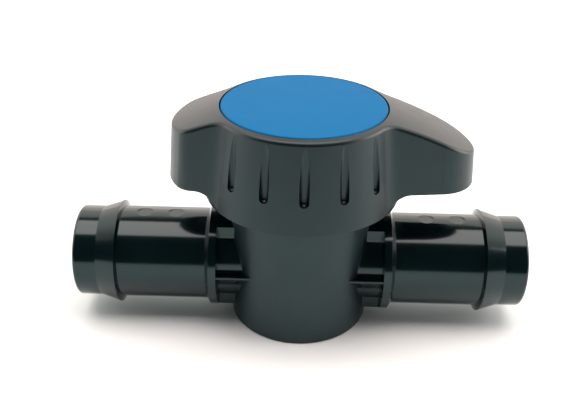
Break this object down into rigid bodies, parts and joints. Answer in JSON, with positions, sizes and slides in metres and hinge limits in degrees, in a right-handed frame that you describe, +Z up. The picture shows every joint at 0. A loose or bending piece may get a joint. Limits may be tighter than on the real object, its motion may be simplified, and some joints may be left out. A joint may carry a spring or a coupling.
{
  "type": "ball valve",
  "caption": "Quarter-turn plastic ball valve with a barbed hose tail at each end and a tapered wing handle with a round inset cap.",
  "frame": {"origin": "middle of the flat base, under the crossing of the flow axis and the stem axis", "axes": "+Z up along the stem, X along the flow with the handle's long wing towards +X when open, Y across"},
  "size_m": [0.12, 0.0508, 0.0609],
  "materials": {
    "body_plastic": "black glass-filled plastic, satin barrel and glossier tails",
    "handle_plastic": "dark grey plastic with a fine satin spark texture",
    "cap_plastic": "light blue plastic, semi-gloss",
    "bonnet_plastic": "black plastic, satin",
    "stem_plastic": "dark grey plastic, satin",
    "ball_plastic": "white plastic, polished",
    "seat_plastic": "white low-friction plastic",
    "seal_rubber": "black rubber",
    "spring_steel": "spring steel",
    "screw_steel": "stainless steel"
  },
  "bodies": {
    "valve": {"valve_body": "body_plastic", "bonnet": "bonnet_plastic", "bonnet_oring": "seal_rubber", "bonnet_circlip": "spring_steel", "seat_ring_left": "seat_plastic", "seat_ring_right": "seat_plastic", "seat_oring_left": "seal_rubber", "seat_oring_right": "seal_rubber", "thrust_washer": "seat_plastic"},
    "handle_and_stem": {"handle": "handle_plastic", "handle_cap": "cap_plastic", "handle_screw": "screw_steel", "handle_washer": "screw_steel", "stem": "stem_plastic", "stem_oring_lower": "seal_rubber", "stem_oring_upper": "seal_rubber"},
    "ball": {"ball": "ball_plastic"}
  },
  "joints": [
    {"name": "handle_turn", "type": "hinge", "parent": "valve", "child": "handle_and_stem", "pos_m": [0, 0, 0.0162], "axis": [0, 0, 1], "range_deg": [-90, 0]},
    {"name": "ball_turn", "type": "hinge", "parent": "valve", "child": "ball", "pos_m": [0, 0, 0.0162], "axis": [0, 0, 1], "range_deg": [-90, 0]}
  ],
  "couplings": [
    {"joint": "ball_turn", "follows": "handle_turn", "ratio": 1}
  ]
}
